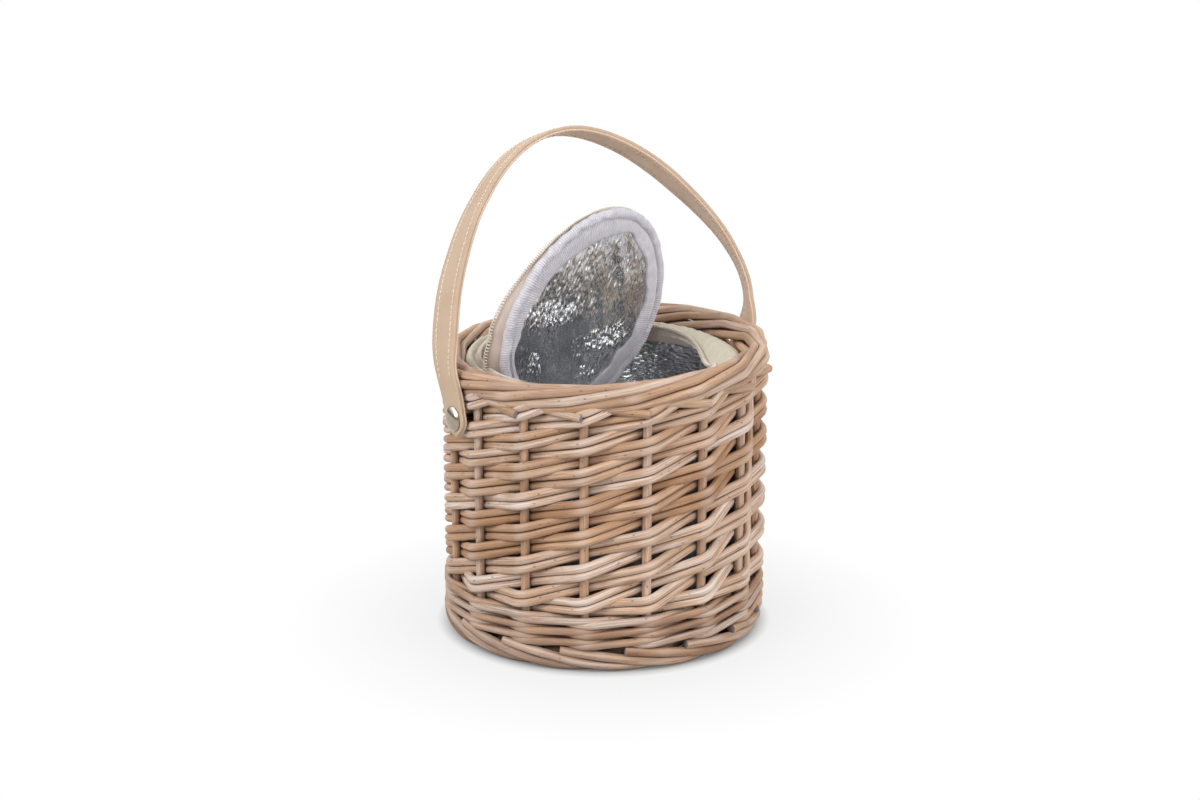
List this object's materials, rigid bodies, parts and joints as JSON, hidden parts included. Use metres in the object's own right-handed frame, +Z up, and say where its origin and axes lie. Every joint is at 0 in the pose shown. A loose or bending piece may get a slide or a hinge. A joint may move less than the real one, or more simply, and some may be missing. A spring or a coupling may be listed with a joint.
{
  "type": "wicker ice bucket",
  "caption": "Round woven-willow ice bucket with a rolled border, a riveted strap handle and a lift-out insulated bag whose zip-round lid stands open.",
  "frame": {"origin": "on the floor at the basket's axis", "axes": "+Z up along the basket's axis, +X along the line through the two rivets, +Y towards the lid's hinge and the side the handle leans to"},
  "size_m": [0.2234, 0.2028, 0.3042],
  "materials": {
    "willow": "antique-washed peeled willow, pale grey streaks, satin",
    "willow_dark": "antique-washed peeled willow, darker, satin",
    "strap_leather": "beige leather-look strap with fine grain and cream stitching",
    "lining_leather": "darker leather-look backing, matt",
    "nickel": "warm nickel plate, polished",
    "liner_fabric": "sage-cream woven fabric",
    "bag_fabric": "slate-grey coated fabric",
    "foam": "soft closed-cell foam wadding",
    "foil": "crinkled metallised film, mirror-like",
    "zip_tape": "taupe woven zip tape",
    "zip_teeth": "cream moulded coil",
    "binding": "pale lilac-grey ribbed binding"
  },
  "bodies": {
    "basket": {"stake_01": "willow", "stake_02": "willow", "stake_03": "willow", "stake_04": "willow", "stake_05": "willow", "stake_06": "willow", "stake_07": "willow", "stake_08": "willow", "stake_09": "willow", "stake_10": "willow", "stake_11": "willow", "stake_12": "willow", "stake_13": "willow", "stake_14": "willow", "stake_15": "willow", "stake_16": "willow", "weaver_pair_01": "willow", "weaver_pair_02": "willow", "weaver_pair_03": "willow", "weaver_pair_04": "willow", "weaver_pair_05": "willow", "weaver_pair_06": "willow", "weaver_pair_07": "willow", "weaver_pair_08": "willow", "weaver_pair_09": "willow", "weaver_pair_10": "willow", "weaver_pair_11": "willow", "weaver_pair_12": "willow", "weaver_pair_13": "willow", "weaver_pair_14": "willow", "weaver_pair_15": "willow", "weaver_pair_16": "willow", "wale_rod_01": "willow_dark", "wale_rod_02": "willow_dark", "wale_rod_03": "willow_dark", "wale_rod_04": "willow_dark", "foot_border": "willow_dark", "base_sticks": "willow", "base_weave": "willow_dark", "rivet_left": "nickel", "rivet_washer_left": "nickel", "rivet_right": "nickel", "rivet_washer_right": "nickel"},
    "handle": {"handle_strap": "strap_leather", "handle_lining": "lining_leather"},
    "liner": {"liner_outer_fabric": "bag_fabric", "liner_foam": "foam", "liner_foil": "foil", "liner_shoulder": "liner_fabric", "liner_zip_tape": "zip_tape", "liner_zip_teeth": "zip_teeth", "lid_hinge_strip": "liner_fabric"},
    "lid": {"lid_outer_panel": "liner_fabric", "lid_foam_pad": "foam", "lid_foil_face": "foil", "lid_binding": "binding", "lid_zip_tape": "zip_tape", "lid_zip_teeth": "zip_teeth"},
    "zip_slider": {"zip_slider": "nickel"},
    "zip_pull": {"zip_pull": "nickel"}
  },
  "joints": [
    {"name": "handle_swing", "type": "hinge", "parent": "basket", "child": "handle", "pos_m": [0, 0, 0.14374], "axis": [-1, 0, 0], "range_deg": [-111, 79]},
    {"name": "liner_lift", "type": "slide", "parent": "basket", "child": "liner", "axis": [0, 0, 1], "range_m": [0, 0.05]},
    {"name": "lid_hinge", "type": "hinge", "parent": "liner", "child": "lid", "pos_m": [-0.00606, 0.0226, 0.16901], "axis": [-0.9659, -0.2588, 0], "range_deg": [-75, 15], "deforming": ["lid_hinge_strip"]},
    {"name": "zip_slide", "type": "hinge", "parent": "liner", "child": "zip_slider", "pos_m": [0, 0, 0.1729], "axis": [0, 0, 1], "range_deg": [-290, 0]},
    {"name": "zip_pull_swing", "type": "hinge", "parent": "zip_slider", "child": "zip_pull", "pos_m": [0.02644, 0.07264, 0.17661], "axis": [-0.342, -0.9397, 0], "range_deg": [0, 170]}
  ]
}
